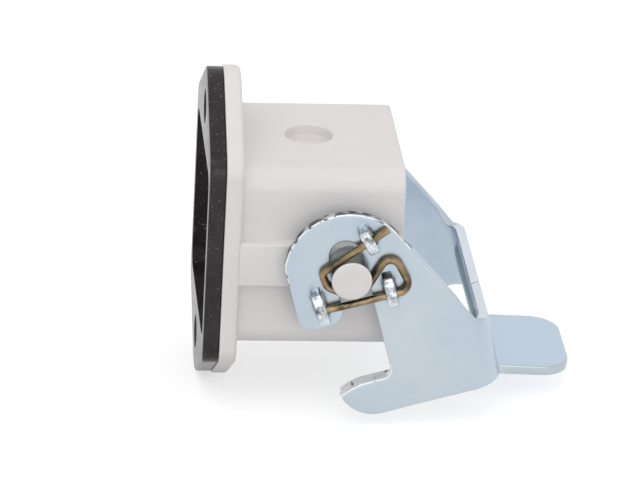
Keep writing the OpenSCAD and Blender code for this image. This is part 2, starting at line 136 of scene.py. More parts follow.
class Finish:
    """A material on one principled shader, with its patterns on Object coordinates."""

    def __init__(self, name, metallic=0.0):
        self.material = bpy.data.materials.new(name)
        self.material.use_nodes = True
        self.tree = self.material.node_tree
        self.shader = self.tree.nodes["Principled BSDF"]
        self.shader.inputs["Metallic"].default_value = metallic
        self.place = self.add("ShaderNodeTexCoord").outputs["Object"]

    def feed(self, socket, value):
        if isinstance(value, bpy.types.NodeSocket):
            self.tree.links.new(value, socket)
        else:
            socket.default_value = value

    def add(self, kind, **inputs):
        node = self.tree.nodes.new(kind)
        for key, value in inputs.items():
            self.feed(node.inputs[key.replace("_", " ")], value)
        return node

    def stretched(self, scale, turn=(0, 0, 0)):
        node = self.add("ShaderNodeMapping", Vector=self.place, Scale=scale, Rotation=turn)
        return node.outputs["Vector"]

    def noise(self, scale, detail=3.0, place=None):
        where = self.place if place is None else place
        return self.add("ShaderNodeTexNoise", Vector=where, Scale=scale, Detail=detail).outputs["Fac"]

    def ramp(self, value, stops):
        node = self.add("ShaderNodeValToRGB", Fac=value)
        ramp = node.color_ramp
        while len(ramp.elements) < len(stops):
            ramp.elements.new(0.5)
        for element, (place, colour) in zip(ramp.elements, stops):
            element.position = place
            element.color = (*colour, 1) if isinstance(colour, tuple) else (colour, colour, colour, 1)
        return node.outputs["Color"]

    def mix(self, share, a, b):
        node = self.tree.nodes.new("ShaderNodeMix")
        node.data_type = "RGBA"
        slots = [s for s in node.inputs if s.type == "RGBA"]
        for socket, value in ((node.inputs["Factor"], share), (slots[0], a), (slots[1], b)):
            self.feed(socket, (*value, 1) if isinstance(value, tuple) else value)
        return next(s for s in node.outputs if s.type == "RGBA")

    def span(self, value, low, high):
        return self.add("ShaderNodeMapRange", Value=value, To_Min=low, To_Max=high).outputs["Result"]

    def between(self, value, low, high, most):
        node = self.add("ShaderNodeMapRange", Value=value, From_Min=low, From_Max=high, To_Max=most)
        return node.outputs["Result"]

    def colour(self, value):
        self.feed(self.shader.inputs["Base Color"], value)

    def rough(self, value):
        self.feed(self.shader.inputs["Roughness"], value)

    def bump(self, height, depth, strength):
        node = self.add("ShaderNodeBump", Height=height, Distance=depth * MM, Strength=strength)
        self.feed(self.shader.inputs["Normal"], node.outputs["Normal"])


def moulded_plastic():
    """Warm grey thermoplastic: faint flow marks, fine spark-eroded grain."""
    f = Finish("moulded_plastic")
    flow = f.noise(1.0, 4.0, f.stretched((60, 180, 180)))
    speck = f.noise(5200.0, 2.0)
    base = f.ramp(flow, [(0.3, (0.785, 0.755, 0.745)), (0.7, (0.82, 0.79, 0.78))])
    f.colour(f.mix(f.ramp(speck, [(0.63, 0.0), (0.7, 0.3)]), base, (0.66, 0.64, 0.63)))
    f.rough(f.span(f.noise(900.0, 3.0), 0.34, 0.5))
    f.bump(f.noise(3600.0, 4.0), 0.02, 0.5)
    return f.material


def stem_shade_plastic():
    """Darker grey plastic for the peg stems: painted shade for the narrow gap under the lever's plates."""
    f = Finish("stem_shade_plastic")
    stem_mottle = f.noise(1.0, 4.0, f.stretched((500, 1600, 500)))
    f.colour(f.ramp(stem_mottle, [(0.35, (0.30, 0.32, 0.32)), (0.7, (0.52, 0.53, 0.525))]))
    f.rough(f.span(stem_mottle, 0.34, 0.55))
    f.bump(f.noise(2600.0, 3.0), 0.02, 0.4)
    return f.material


def gasket_rubber():
    """Black sponge rubber with moulding haze and pale dust on it."""
    f = Finish("gasket_rubber")
    haze = f.noise(260.0, 5.0)
    base = f.ramp(haze, [(0.35, (0.012, 0.010, 0.011)), (0.7, (0.027, 0.023, 0.024))])
    dust = f.ramp(f.noise(3400.0, 2.0), [(0.65, 0.0), (0.73, 0.45)])
    f.colour(f.mix(dust, base, (0.36, 0.35, 0.34)))
    f.rough(f.span(f.noise(700.0, 4.0), 0.16, 0.32))
    f.bump(f.noise(1900.0, 5.0), 0.02, 0.4)
    f.shader.inputs["Specular IOR Level"].default_value = 0.3
    return f.material


def seal_rubber():
    f = Finish("seal_rubber")
    f.colour(f.ramp(f.noise(700.0, 4.0), [(0.3, (0.018, 0.018, 0.02)), (0.75, (0.045, 0.045, 0.047))]))
    f.rough(f.span(f.noise(1200.0), 0.4, 0.6))
    f.bump(f.noise(2600.0), 0.02, 0.5)
    return f.material


def zinc_sheet(name, tints, tab_tint):
    """Blue-passivated zinc on rolled steel: cloudy tint, fine rolling lines, bluer out on the tab."""
    f = Finish(name, metallic=1.0)
    cloud = f.noise(95.0, 4.0)
    tint = f.ramp(cloud, list(zip((0.3, 0.55, 0.8), tints)))
    rolled = f.noise(1.0, 3.0, f.stretched((350, 350, 5200), (0, -TILT, 0)))
    lined = f.mix(f.ramp(rolled, [(0.35, 0.06), (0.65, 0.0)]), tint, (0.38, 0.44, 0.51))
    pits = f.mix(f.ramp(f.noise(1700.0, 2.0), [(0.26, 0.35), (0.29, 0.0)]), lined, (0.28, 0.31, 0.35))
    place = f.add("ShaderNodeSeparateXYZ", Vector=f.place).outputs
    upper = f.between(place["Z"], -0.004, 0.008, 0.35)
    outer = f.between(place["X"], 0.033, 0.0385, 0.9)
    f.colour(f.mix(outer, f.mix(upper, pits, (0.36, 0.46, 0.56)), tab_tint))
    f.rough(f.span(f.noise(420.0, 5.0), 0.24, 0.4))
    f.bump(rolled, 0.006, 0.5)
    return f.material


def sheared_edge():
    """Cut edge of the sheet: a burnished band, near-white and little metallic as a painted highlight, with
    dark tear marks across it.
    """
    f = Finish("sheared_edge", metallic=0.25)
    tear = f.noise(1.0, 4.0, f.stretched((900, 220, 900)))
    f.colour(f.ramp(tear, [(0.40, (0.08, 0.09, 0.09)), (0.45, (0.84, 0.87, 0.90)),
                           (0.60, (0.92, 0.94, 0.96))]))
    f.rough(f.span(tear, 0.32, 0.2))
    f.bump(tear, 0.015, 0.5)
    return f.material


def torn_edge():
    """Most of the heads' cut edge, where the metal tore: dull and dark, with bright spots."""
    f = Finish("torn_edge", metallic=1.0)
    tear = f.noise(850.0, 5.0)
    f.colour(f.ramp(tear, [(0.40, (0.07, 0.08, 0.085)), (0.50, (0.27, 0.30, 0.32)),
                           (0.60, (0.70, 0.74, 0.77))]))
    f.rough(f.span(tear, 0.5, 0.3))
    f.bump(tear, 0.04, 0.6)
    return f.material


def bead_shade_zinc():
    """Inside of the web's bead: a darker, duller zinc, painted shade for the dark reflection down its inner
    face.
    """
    f = Finish("bead_shade_zinc", metallic=1.0)
    bead_mottle = f.noise(300.0, 4.0)
    f.colour(f.ramp(bead_mottle, [(0.3, (0.30, 0.41, 0.46)), (0.7, (0.39, 0.50, 0.56))]))
    f.rough(f.span(bead_mottle, 0.35, 0.5))
    f.bump(f.noise(1500.0), 0.01, 0.5)
    return f.material


def bridge_zinc():
    """Drawn bridge metal: shiny, with dark and near-white streaks over its top and upper end, painted shade
    and reflection.
    """
    f = Finish("bridge_zinc", metallic=1.0)
    along = f.tree.nodes.new("ShaderNodeAttribute")
    along.attribute_name = "along"
    streak_noise = f.noise(900.0, 5.0)
    painted_streaks = f.ramp(streak_noise, [(0.38, (0.035, 0.04, 0.045)), (0.5, (0.42, 0.45, 0.47)),
                           (0.6, (0.85, 0.87, 0.89))])
    clean = f.ramp(streak_noise, [(0.3, (0.52, 0.59, 0.66)), (0.7, (0.72, 0.77, 0.81))])
    share = f.ramp(along.outputs["Fac"], [(0.3, 0.0), (0.48, 0.9), (0.8, 0.75), (0.95, 0.2)])
    f.colour(f.mix(share, clean, painted_streaks))
    f.rough(f.span(streak_noise, 0.34, 0.16))
    f.bump(f.noise(1800.0), 0.02, 0.5)
    return f.material


def spring_bronze():
    """Drawn spring wire: brown skin with lighter draw lines and a coppery sheen."""
    f = Finish("spring_bronze", metallic=1.0)
    drawn = f.noise(1.0, 3.0, f.stretched((900, 3800, 900)))
    skin = f.ramp(f.noise(330.0, 4.0), [(0.32, (0.085, 0.065, 0.04)), (0.52, (0.26, 0.185, 0.10)),
                                        (0.75, (0.42, 0.22, 0.12))])
    f.colour(f.mix(f.ramp(drawn, [(0.45, 0.0), (0.7, 0.5)]), skin, (0.46, 0.37, 0.26)))
    f.rough(f.span(drawn, 0.18, 0.34))
    f.bump(drawn, 0.012, 0.6)
    return f.material


def turned_brass():
    f = Finish("turned_brass", metallic=1.0)
    rings = f.noise(1.0, 2.0, f.stretched((5200, 200, 200)))
    f.colour(f.ramp(rings, [(0.3, (0.55, 0.36, 0.12)), (0.7, (0.74, 0.53, 0.22))]))
    f.rough(f.span(rings, 0.18, 0.36))
    f.bump(rings, 0.01, 0.5)
    return f.material


# Mesh helpers


def point_mm(p):
    return Vector(p) * MM


def placed(name, data):
    """A new object in the scene."""
    obj = bpy.data.objects.new(name, data)
    bpy.context.scene.collection.objects.link(obj)
    return obj


def clean(mesh, slivers):
    """Merges doubles, turns the normals outward and, where asked, dissolves slivers."""
    work = bmesh.new()
    work.from_mesh(mesh)
    bmesh.ops.remove_doubles(work, verts=work.verts, dist=1e-7)
    if slivers:
        bmesh.ops.dissolve_degenerate(work, edges=work.edges, dist=1e-8)
    bmesh.ops.recalc_face_normals(work, faces=work.faces)
    work.to_mesh(mesh)
    work.free()


def solid(name, verts, faces, materials, sharp=32, indices=None):
    """A closed mesh piece from points in millimetres, with a material index for each face if given."""
    mesh = bpy.data.meshes.new(name)
    mesh.from_pydata([point_mm(v) for v in verts], [], faces)
    if indices is not None:
        mesh.polygons.foreach_set("material_index", indices)
    clean(mesh, slivers=True)
    for material in materials:
        mesh.materials.append(material)
    return shaded(placed(name, mesh), sharp)


def shaded(obj, sharp=32):
    obj.data.polygons.foreach_set("use_smooth", [True] * len(obj.data.polygons))
    obj.data.set_sharp_from_angle(angle=radians(sharp))
    return obj


def loft(name, rings, materials, closed=False, sharp=32):
    """Skin over rings of equal count; closed joins the last ring to the first, else the ends are capped."""
    count, size = len(rings), len(rings[0])
    verts = [p for ring in rings for p in ring]
    faces = []
    for i in range(count if closed else count - 1):
        a, b = i * size, (i + 1) % count * size
        faces += [(a + k, a + (k + 1) % size, b + (k + 1) % size, b + k) for k in range(size)]
    if not closed:
        faces += [tuple(range(size))[::-1], tuple(range((count - 1) * size, count * size))]
    return solid(name, verts, faces, materials, sharp)


def lathe(name, profile, place, materials, closed=False, sides=SIDES):
    """Turns (distance along, radius) about an axis; place maps (along, across, up) into the frame."""
    turns = [2 * pi * k / sides for k in range(sides)]
    rings = [[place(along, r * cos(t), r * sin(t)) for t in turns] for along, r in profile]
    return loft(name, rings, materials, closed)


def arc(cx, cy, r, start, end, steps=10):
    turns = [radians(start + (end - start) * k / steps) for k in range(steps + 1)]
    return [(cx + r * cos(t), cy + r * sin(t)) for t in turns]


def round_square(size, corner, high=None, steps=8, spans=6):
    """Outline of a rounded rectangle about the origin, with the same count for any size."""
    half, tall = size / 2 - corner, (size if high is None else high) / 2 - corner
    points = []
    for turn, cx, cy in ((0, half, tall), (90, -half, tall), (180, -half, -tall), (270, half, -tall)):
        points += arc(cx, cy, corner, turn, turn + 90, steps)
    filled = []
    for i, p in enumerate(points):
        q = points[(i + 1) % len(points)]
        filled.append(p)
        if i % (steps + 1) == steps:
            filled += [(p[0] + (q[0] - p[0]) * k / spans, p[1] + (q[1] - p[1]) * k / spans)
                       for k in range(1, spans)]
    return filled


def inset(points, depth):
    """Moves each point of a closed outline inward along the mean normal of its two edges."""
    xy = np.array(points, float)
    ahead = np.roll(xy, -1, 0) - xy
    ahead /= np.linalg.norm(ahead, axis=1)[:, None] + 1e-12
    behind = np.roll(ahead, 1, 0)
    area = np.sum(xy[:, 0] * np.roll(xy[:, 1], -1) - np.roll(xy[:, 0], -1) * xy[:, 1])
    normal = (ahead + behind)[:, ::-1] * np.array([-1, 1]) * np.sign(area)
    normal /= np.linalg.norm(normal, axis=1)[:, None] + 1e-12
    spread = np.clip(np.sum(ahead * behind, axis=1), -0.5, 1)
    return [tuple(p) for p in xy + normal * depth / np.sqrt((1 + spread) / 2)[:, None]]


def round_steps(radius, steps=4):
    """Inset and depth along a quarter round, from the flat face down to the side."""
    turns = [pi / 2 * k / steps for k in range(steps + 1)]
    return [(radius * (1 - sin(t)), radius * (1 - cos(t))) for t in turns]


def slab(name, outline, low, high, place, materials, low_round, high_round):
    """A plate over an outline with rounded edges; place maps (a, b, height) into the frame."""
    levels = [(back, low + drop) for back, drop in round_steps(low_round)]
    levels += [(back, high - drop) for back, drop in reversed(round_steps(high_round))]
    rings = [[place(a, b, height) for a, b in inset(outline, back)] for back, height in levels]
    return loft(name, rings, materials, sharp=40)


def prism(name, outline, low, high):
    """A plain cutter over an outline, along the mating direction."""
    return loft(name, [[along_x(a, b, x) for a, b in outline] for x in (low, high)], [])


def along_x(a, b, x):
    """Places a flat outline across the mating direction."""
    return (x, a, b)


def along_axis(x, a, b):
    """Places a turned form on the mating axis."""
    return (x, a, b)


def out_of_side(side):
    """Places a turned form on the axis of one lever peg."""
    return lambda out, a, b: (PEG_X + a, side * out, b)


def cut(obj, cutters, sharp=32):
    """Takes the cutters out of a piece and deletes them."""
    for cutter in cutters:
        step = obj.modifiers.new("cut", "BOOLEAN")
        step.operation, step.solver, step.object = "DIFFERENCE", "EXACT", cutter
    return settled(obj, cutters, sharp)


def settled(obj, helpers=(), sharp=32):
    """Makes the modified shape a plain mesh, then removes the modifiers and the helpers."""
    bpy.context.view_layer.update()
    mesh = bpy.data.meshes.new_from_object(obj.evaluated_get(bpy.context.evaluated_depsgraph_get()))
    obj.modifiers.clear()
    obj.data = mesh
    for helper in helpers:
        bpy.data.objects.remove(helper)
    return shaded(obj, sharp)


def hole_cutter(name, x_low, x_high, z, dia, ease=0.22):
    """A drill with eased ends, which leaves a softened rim on both faces."""
    r = dia / 2
    profile = [(x_low - 1, r + ease), (x_low - 0.001, r + ease), (x_low + ease, r), (x_high - ease, r),
               (x_high + 0.001, r + ease), (x_high + 1, r + ease)]
    return lathe(name, profile, lambda along, a, b: (along, a, z + b), [], sides=48)


def belongs(obj, body, node):
    """Says what a rigid piece rides on and which node it stands for."""
    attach(obj, body)
    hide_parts(node)


# Housing, gasket, seal and nut


def flange_outline(back=0):
    """Two round ears joined by straight flanks to four side corners, all set back by one amount."""
    dy, dz = FLANGE_HALF - SIDE_CORNER, SIDE_RISE - EAR_RISE
    ear, corner = EAR_RADIUS - back, SIDE_CORNER - back
    turn = degrees(atan2(dz, dy) + acos((ear - corner) / hypot(dy, dz)))
    quarter = arc(dy, SIDE_RISE, corner, 0, turn, 12) + arc(0, EAR_RISE, ear, turn, 90, 12)
    upper = quarter + [(-y, z) for y, z in reversed(quarter[:-1])]
    return upper + [(-y, -z) for y, z in upper]


def make_flange(plastic):
    """Plate with two screw holes, and an opening that the tube's skin lines."""
    flange = slab("flange", flange_outline(), GASKET_THICK, FLANGE_FRONT, along_x, [plastic],
                  low_round=0.15, high_round=0.6)
    cutters = [hole_cutter("drill", GASKET_THICK, FLANGE_FRONT, z, HOLE_DIA)
               for z in (-EAR_RISE, EAR_RISE)]
    rear = round_square(REAR_OPENING + 1, CAVITY_CORNER)
    return cut(flange, [*cutters, prism("rear_cut", rear, 0, 2 * FLANGE_FRONT)])


def make_tube(plastic):
    """One skin round the tube's wall, its eased mating edge, cavity, ledge and rear opening."""
    fillet, bury = 0.45, 0.1
    mating_ease, cavity_ease, ledge_ease, recess_ease = 0.32, 0.2, 0.15, 0.15
    profile = [(TUBE_SIZE, TUBE_EDGE, GASKET_THICK + bury), (TUBE_SIZE, TUBE_EDGE, FLANGE_FRONT - bury)]
    profile += [(TUBE_SIZE + 2 * back, TUBE_EDGE + back, FLANGE_FRONT + drop)
                for back, drop in round_steps(fillet, 5)]
    profile += [(TUBE_SIZE - 2 * back, TUBE_EDGE - back, MATING_FACE - drop)
                for back, drop in reversed(round_steps(mating_ease))]
    profile += [(CAVITY_SIZE + 2 * back, CAVITY_CORNER + back, MATING_FACE - drop)
                for back, drop in round_steps(cavity_ease)]
    profile += [(CAVITY_SIZE, CAVITY_CORNER, LEDGE), (REAR_OPENING + 2 * ledge_ease, CAVITY_CORNER, LEDGE),
                (REAR_OPENING, CAVITY_CORNER, LEDGE - ledge_ease),
                (REAR_OPENING, CAVITY_CORNER, GASKET_THICK + bury)]
    rings = [[along_x(a, b, x) for a, b in round_square(size, corner)] for size, corner, x in profile]
    tube = loft("tube", rings, [plastic], closed=True)
    top, r = TUBE_SIZE / 2, RECESS_DIA / 2
    drill = [(top + 1, r + recess_ease), (top + 0.001, r + recess_ease), (top - recess_ease, r),
             (top - RECESS_DEPTH, r)]
    return cut(tube, [lathe("recess_drill", drill, over_recess, [])], sharp=30)


def over_recess(up, a, b):
    """Places a turned form on the recess's axis, with no corner of it on the tube's middle line."""
    c, s = cos(pi / SIDES), sin(pi / SIDES)
    return (RECESS_X + a * c - b * s, a * s + b * c, up)


def make_recess_pad(plastic):
    """Pad under the recess, lapped over the tube's wall, with a fillet round the recess's floor."""
    top, bore, r = TUBE_SIZE / 2, RECESS_DIA / 2 + 0.02, PAD_DIA / 2
    lap, ease, fillet = top - 0.6, 0.2, 0.35
    floor = top - RECESS_DEPTH
    deep = floor - RECESS_FLOOR
    profile = [(lap, bore), (lap, r), (deep + ease, r), (deep, r - ease), (deep, PIN), (floor, PIN)]
    profile += [(floor + drop, bore - back) for back, drop in round_steps(fillet, 5)]
    return lathe("recess_pad", profile, over_recess, [plastic], closed=True)


def make_side_rib(side, plastic):
    start = GASKET_THICK + 1
    outline = [(start, -RIB_HALF), *arc(PEG_X, 0, RIB_HALF, -90, 90, 24), (start, RIB_HALF)]
    return slab("side_rib_" + side_name(side), outline, TUBE_SIZE / 2 - 0.6, RIB_FACE,
                lambda x, z, out: (x, side * out, z), [plastic], low_round=0.05, high_round=0.35)


def make_peg_stem(side, stem_shade):
    """Shoulder and shank of one lever peg."""
    shoulder, shank = SHOULDER_DIA / 2, SHANK_DIA / 2
    foot, ease, root = 0.12, 0.15, 0.05
    low, high = RIB_FACE - 0.2, HEAD_UNDER + 0.3
    profile = [(low, PIN), (low, shoulder + foot), (RIB_FACE, shoulder + foot), (RIB_FACE + foot, shoulder),
               (SHOULDER_FACE - ease, shoulder), (SHOULDER_FACE, shoulder - ease),
               (SHOULDER_FACE, shank + root), (SHOULDER_FACE + root, shank), (high, shank), (high, PIN)]
    return lathe("peg_stem_" + side_name(side), profile, out_of_side(side), [stem_shade])


def make_peg_head(side, plastic):
    """Flared head of one lever peg, with a shallow gate mark in its middle."""
    r, mark, mark_deep = HEAD_DIA / 2, 0.8, 0.03
    profile = [(HEAD_UNDER, PIN), (HEAD_UNDER, r - HEAD_FLARE)]
    profile += [(HEAD_FRONT - drop, r - back) for back, drop in reversed(round_steps(0.22))]
    profile += [(HEAD_FRONT, mark), (HEAD_FRONT - mark_deep, mark - 0.2), (HEAD_FRONT - mark_deep, PIN)]
    return lathe("peg_head_" + side_name(side), profile, out_of_side(side), [plastic])


def make_bar(plastic):
    half, end = BAR_WIDTH / 2, BAR_LENGTH / 2
    outline = [(-half, -end), (half, -end), (half, end), (-half, end)]
    bar = slab("screw_bar", outline, GASKET_THICK, LEDGE, along_x, [plastic],
               low_round=0.2, high_round=0.25)
    return cut(bar, [hole_cutter("bar_drill", GASKET_THICK, LEDGE + 2, 0, BOSS_DIA - 0.2, ease=0.01)])


def make_boss(plastic):
    """Round boss in the bar, with the nut's seat and a hole behind it for the screw's end."""
    r, hole, nut = BOSS_DIA / 2, RELIEF_DIA / 2, NUT_DIA / 2
    seat = BOSS_FACE - NUT_LENGTH
    rear_ease, hole_ease, nut_ease = 0.12, 0.2, 0.15
    profile = [(GASKET_THICK, hole + hole_ease), (GASKET_THICK, r - rear_ease),
               (GASKET_THICK + rear_ease, r),
               (BOSS_FACE - 0.3, r), (BOSS_FACE - 0.08, r - 0.1), (BOSS_FACE, r - 0.3),
               (BOSS_FACE, nut + nut_ease), (BOSS_FACE - nut_ease, nut), (seat, nut), (seat, hole),
               (GASKET_THICK + hole_ease, hole)]
    return lathe("screw_boss", profile, along_axis, [plastic], closed=True)


def make_gasket(rubber):
    front = GASKET_THICK - 0.02
    gasket = slab("flat_gasket", flange_outline(GASKET_INSET), 0, front, along_x, [rubber],
                  low_round=0.3, high_round=0.25)
    cutters = [hole_cutter("punch", 0, front, z, GASKET_HOLE_DIA) for z in (-EAR_RISE, EAR_RISE)]
    wide, high, corner = WINDOW
    window = round_square(wide, corner, high)
    return cut(gasket, [*cutters, prism("window_cut", window, -1, GASKET_THICK + 1)])


def swelled(t):
    """The root of a sine or cosine with its sign kept, for a section between a circle and a square."""
    return copysign(abs(t) ** 0.5, t)


def make_seal(rubber):
    """Rubber frame on the ledge, its section swept round the cavity."""
    half, rise = SEAL_WIDTH / 2, SEAL_THICK / 2
    middle, corner = SEAL_SIZE - SEAL_WIDTH, CAVITY_CORNER - half + 0.01
    section = [(half * swelled(cos(t)), rise * swelled(sin(t)))
               for t in (2 * pi * k / 20 for k in range(20))]
    rings = [[along_x(a, b, LEDGE + rise + up)
              for a, b in round_square(middle + 2 * across, corner + across)] for across, up in section]
    return loft("seal_frame", rings, [rubber], closed=True)


def make_nut(brass):
    """Sleeve of the nut; its thread is a coil made by the node tree below."""
    r, bore, low = NUT_DIA / 2 - 0.005, NUT_BORE / 2 + 0.22, BOSS_FACE - NUT_LENGTH
    rear, front, rear_sink, front_sink = 0.1, 0.15, 0.25, 0.3
    profile = [(low, bore + rear_sink), (low, r - rear), (low + rear, r), (BOSS_FACE - front, r),
               (BOSS_FACE, r - front), (BOSS_FACE, bore + front_sink), (BOSS_FACE - front_sink, bore),
               (low + rear_sink, bore)]
    return lathe("nut_body", profile, along_axis, [brass], closed=True)


# Node trees for what follows a path


def path_tree(name, sizes):
    """An empty geometry tree with a geometry input and output and named size inputs."""
    tree = bpy.data.node_groups.new(name, "GeometryNodeTree")
    tree.interface.new_socket("Geometry", in_out="INPUT", socket_type="NodeSocketGeometry")
    for label, kind in sizes:
        tree.interface.new_socket(label, in_out="INPUT", socket_type=kind)
    tree.interface.new_socket("Geometry", in_out="OUTPUT", socket_type="NodeSocketGeometry")
    return tree, tree.nodes.new("NodeGroupInput"), tree.nodes.new("NodeGroupOutput")


def grow_node(tree, kind, **inputs):
    """A new geometry node with some of its inputs set."""
    node = tree.nodes.new("GeometryNode" + kind)
    for key, value in inputs.items():
        node.inputs[key.replace("_", " ")].default_value = value
    return node


def join(tree, *links):
    """Links a tree's nodes; each link is (from node, its output, to node, its input)."""
    for start, output, end, entry in links:
        tree.links.new(start.outputs[output], end.inputs[entry])


def finish_tree(tree, swept, source, sink):
    """Ends a tree in Realize Instances and Set Material."""
    whole = grow_node(tree, "RealizeInstances")
    paint = grow_node(tree, "SetMaterial")
    join(tree, (swept, "Mesh", whole, "Geometry"), (whole, "Geometry", paint, "Geometry"),
         (source, "Material", paint, "Material"), (paint, "Geometry", sink, "Geometry"))
    return tree


def wire_tree():
    """A round wire along a polyline."""
    sizes = [("Radius", "NodeSocketFloat"), ("Material", "NodeSocketMaterial")]
    tree, source, sink = path_tree("drawn_wire", sizes)
    curve = grow_node(tree, "MeshToCurve")
    ring = grow_node(tree, "CurvePrimitiveCircle", Resolution=20)
    tube = grow_node(tree, "CurveToMesh", Fill_Caps=True)
    join(tree, (source, "Geometry", curve, "Mesh"), (source, "Radius", ring, "Radius"),
         (curve, "Curve", tube, "Curve"), (ring, "Curve", tube, "Profile Curve"))
    return finish_tree(tree, tube, source, sink)


def strap_tree():
    """A flat strap with rounded edges along a polyline, its breadth along a given direction."""
    sizes = [("Breadth", "NodeSocketFloat"), ("Thickness", "NodeSocketFloat"), ("Edge", "NodeSocketFloat"),
             ("Across", "NodeSocketVector"), ("Material", "NodeSocketMaterial")]
    tree, source, sink = path_tree("formed_strap", sizes)
    curve = grow_node(tree, "MeshToCurve")
    aim = grow_node(tree, "SetCurveNormal")
    aim.mode = "FREE"
    section = grow_node(tree, "CurvePrimitiveQuadrilateral")
    soften = grow_node(tree, "FilletCurve")
    soften.mode = "POLY"
    soften.inputs["Count"].default_value = 4
    strap = grow_node(tree, "CurveToMesh", Fill_Caps=True)
    spot = grow_node(tree, "SplineParameter")
    keep = grow_node(tree, "StoreNamedAttribute", Name="along")
    keep.data_type, keep.domain = "FLOAT", "POINT"
    join(tree, (source, "Geometry", curve, "Mesh"), (curve, "Curve", aim, "Curve"),
         (source, "Across", aim, "Normal"), (aim, "Curve", keep, "Geometry"),
         (spot, "Factor", keep, "Value"),
         (source, "Breadth", section, "Width"), (source, "Thickness", section, "Height"),
         (section, "Curve", soften, "Curve"), (source, "Edge", soften, "Radius"),
         (keep, "Geometry", strap, "Curve"), (soften, "Curve", strap, "Profile Curve"))
    return finish_tree(tree, strap, source, sink)


def thread_tree():
    """A screw thread: a three-sided ridge along a coil."""
    sizes = [("Radius", "NodeSocketFloat"), ("Length", "NodeSocketFloat"), ("Turns", "NodeSocketFloat"),
             ("Ridge", "NodeSocketFloat"), ("Material", "NodeSocketMaterial")]
    tree, source, sink = path_tree("nut_thread", sizes)
    coil = grow_node(tree, "CurveSpiral", Resolution=40)
    ridge = grow_node(tree, "CurvePrimitiveCircle", Resolution=3)
    thread = grow_node(tree, "CurveToMesh", Fill_Caps=True)
    join(tree, (source, "Radius", coil, "Start Radius"), (source, "Radius", coil, "End Radius"),
         (source, "Length", coil, "Height"), (source, "Turns", coil, "Rotations"),
         (source, "Ridge", ridge, "Radius"), (coil, "Curve", thread, "Curve"),
         (ridge, "Curve", thread, "Profile Curve"))
    return finish_tree(tree, thread, source, sink)


def grown(name, tree, points, values):
    """Runs a tree on a polyline in millimetres and keeps the result as a plain mesh piece."""
    mesh = bpy.data.meshes.new(name)
    mesh.from_pydata([point_mm(p) for p in points], [(i, i + 1) for i in range(len(points) - 1)], [])
    obj = placed(name, mesh)
    step = obj.modifiers.new("grow", "NODES")
    step.node_group = tree
    for item in tree.interface.items_tree:
        if item.in_out == "INPUT" and item.name in values:
            step[item.identifier] = values[item.name]
    settled(obj)
    clean(obj.data, slivers=False)
    return shaded(obj, sharp=40)


def make_thread(brass):
    """The nut's M3 thread, turned from the tree's upright coil to the mating direction."""
    low, run = BOSS_FACE - NUT_LENGTH + 0.3, NUT_LENGTH - 0.8
    pitch, ridge, middle = 0.5, 0.26, NUT_BORE / 2 + 0.19
    sizes = {"Radius": middle * MM, "Length": run * MM, "Turns": run / pitch, "Ridge": ridge * MM,
             "Material": brass}
    thread = grown("nut_thread", thread_tree(), [(0, 0, 0), (0, 0, 1)], sizes)
    thread.data.transform(Matrix.Translation(point_mm((low, 0, 0))) @ Matrix.Rotation(pi / 2, 4, "Y"))
    return thread


# The lever: one sheet, cut flat and bent


def side_name(side):
    return "near" if side < 0 else "far"


def lever_point(u, w, y):
    """From the lever's frame to the part's frame."""
    return (PEG_X + u * cos(TILT) - w * sin(TILT), y, u * sin(TILT) + w * cos(TILT))


def lever_way(u, w, y):
    """A direction of the lever's frame in the part's frame."""
    x, _, z = lever_point(u, w, 0)
    return Vector((x - PEG_X, y, z))


def to_web(u, w, lean=LEAN):
    """From the lever's frame to the web's, which leans about the web's upper edge."""
    c, s = cos(lean), sin(lean)
    du, dw = u - WEB_U, w - WEB_TOP
    return WEB_U + du * c - dw * s, WEB_TOP + du * s + dw * c


def from_web(u, w):
    return to_web(u, w, -LEAN)


BEND_U, BEND_SIDE = WEB_U - BEND, PLATE_OUTER - BEND
PLATE_RUN = BEND_SIDE + BEND * pi / 2
TAB_BEND_W = TAB_W + TAB_BEND * tan(TAB_TURN / 2)
TAB_RUN = TAB_BEND * TAB_TURN + TAB_LENGTH - TAB_BEND * tan(TAB_TURN / 2)


def flat(u, w):
    """Place of a point of a plate in the flat sheet: run from the web's middle, then height."""
    across, up = to_web(u, w)
    return PLATE_RUN + BEND_U - across, up


def on_plate(run, up):
    """Place in the lever's frame of a point of the flat sheet that lies on a plate."""
    return from_web(PLATE_RUN + BEND_U - abs(run), up)


def eased(t):
    """Smooth step from 0 to 1."""
    t = min(max(t, 0), 1)
    return t * t * (3 - 2 * t)


def bead_depth(run, up):
    """How far the web is pressed in by its stiffening bead."""
    away = hypot(max(abs(run) - BEAD_LENGTH / 2, 0), up - BEAD_W)
    return BEAD_DEPTH * eased((BEAD_HALF - away) / BEAD_SLOPE)


def hook_set(run, up):
    """How far a hook is set outward, beyond a crease from its seat's corner to the lower edge."""
    u, w = on_plate(run, up)
    beyond = SLOT_HALF - u - CREASE_SLOPE * (w - SEAT_W)
    return max(beyond, 0) * tan(HOOK_SET) if w < SEAT_W + 1 and abs(run) > PLATE_RUN else 0


def bent(run, up, depth):
    """Folds a point of the flat sheet, at a depth under its outer face, into the part's frame."""
    side = 1 if run >= 0 else -1
    turn = min(max((abs(run) - BEND_SIDE) / BEND, 0), pi / 2)
    straight = min(abs(run), BEND_SIDE)
    back = max(abs(run) - PLATE_RUN, 0)
    depth += bead_depth(run, up) - hook_set(run, up)
    reach = BEND - depth
    u = BEND_U + reach * cos(turn) - back
    y = straight + reach * sin(turn)
    w = up
    if up < TAB_BEND_W and abs(run) < BEND_SIDE:
        fold = min((TAB_BEND_W - up) / TAB_BEND, TAB_TURN)
        beyond = max(TAB_BEND_W - up - TAB_BEND * TAB_TURN, 0)
        reach = TAB_BEND + depth
        u = WEB_U + TAB_BEND - reach * cos(fold) + beyond * sin(TAB_TURN)
        w = TAB_BEND_W - reach * sin(fold) - beyond * cos(TAB_TURN)
    return lever_point(*from_web(u, w), -side * y)


